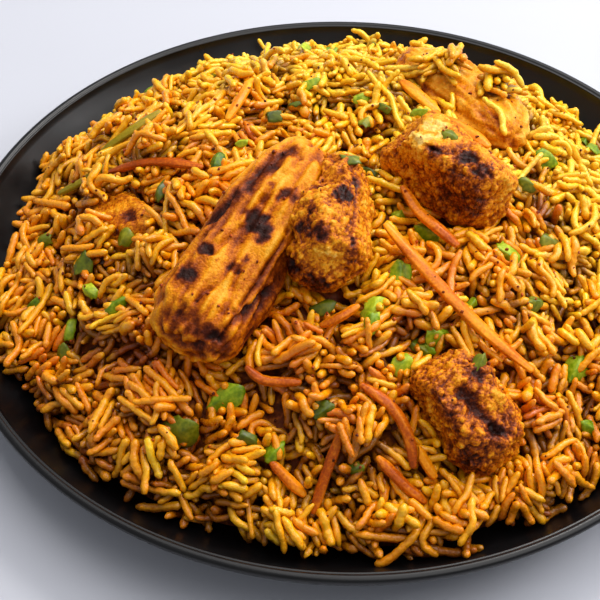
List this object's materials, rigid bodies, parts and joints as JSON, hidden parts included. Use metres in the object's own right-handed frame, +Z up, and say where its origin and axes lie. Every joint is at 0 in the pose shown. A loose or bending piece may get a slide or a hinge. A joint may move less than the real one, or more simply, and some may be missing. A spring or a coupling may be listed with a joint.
{
  "type": "plate of vermicelli rice with roast chicken",
  "caption": "Black coupe plate heaped with spiced yellow vermicelli rice, with charred chicken pieces, carrot strips and green herbs in it.",
  "frame": {"origin": "middle of the plate's foot ring, on the table", "axes": "+Z up; -Y towards the viewer of the picture, +X to its right"},
  "size_m": [0.231, 0.231, 0.0669],
  "materials": {
    "plate_glaze": "satin black glazed stoneware",
    "rice": "moist cooked grains, golden yellow to orange brown, dark gaps",
    "chicken": "roasted, golden to brown with black char spots and a glaze",
    "carrot": "cooked carrot strips, moist and glossy",
    "greens": "chopped fresh herb leaf and olive green pepper strips"
  },
  "bodies": {
    "root": {"plate": "plate_glaze", "rice_heap": "rice", "chicken_breast_strip": "chicken", "chicken_crusted_chunk": "chicken", "chicken_cut_chunk": "chicken", "chicken_front_chunk": "chicken", "chicken_glazed_strip": "chicken", "chicken_sunken_piece": "chicken", "carrot_long": "carrot", "carrot_upper": "carrot", "carrot_front_curl": "carrot", "carrot_front_low": "carrot", "carrot_front_right": "carrot", "carrot_front_left": "carrot", "carrot_low_left": "carrot", "carrot_under_strip": "carrot", "carrot_middle": "carrot", "carrot_back_right": "carrot", "carrot_back_middle": "carrot", "carrot_back_left": "carrot", "carrot_left_band": "carrot", "pepper_left_long": "greens", "pepper_left_short": "greens"}
  },
  "joints": []
}
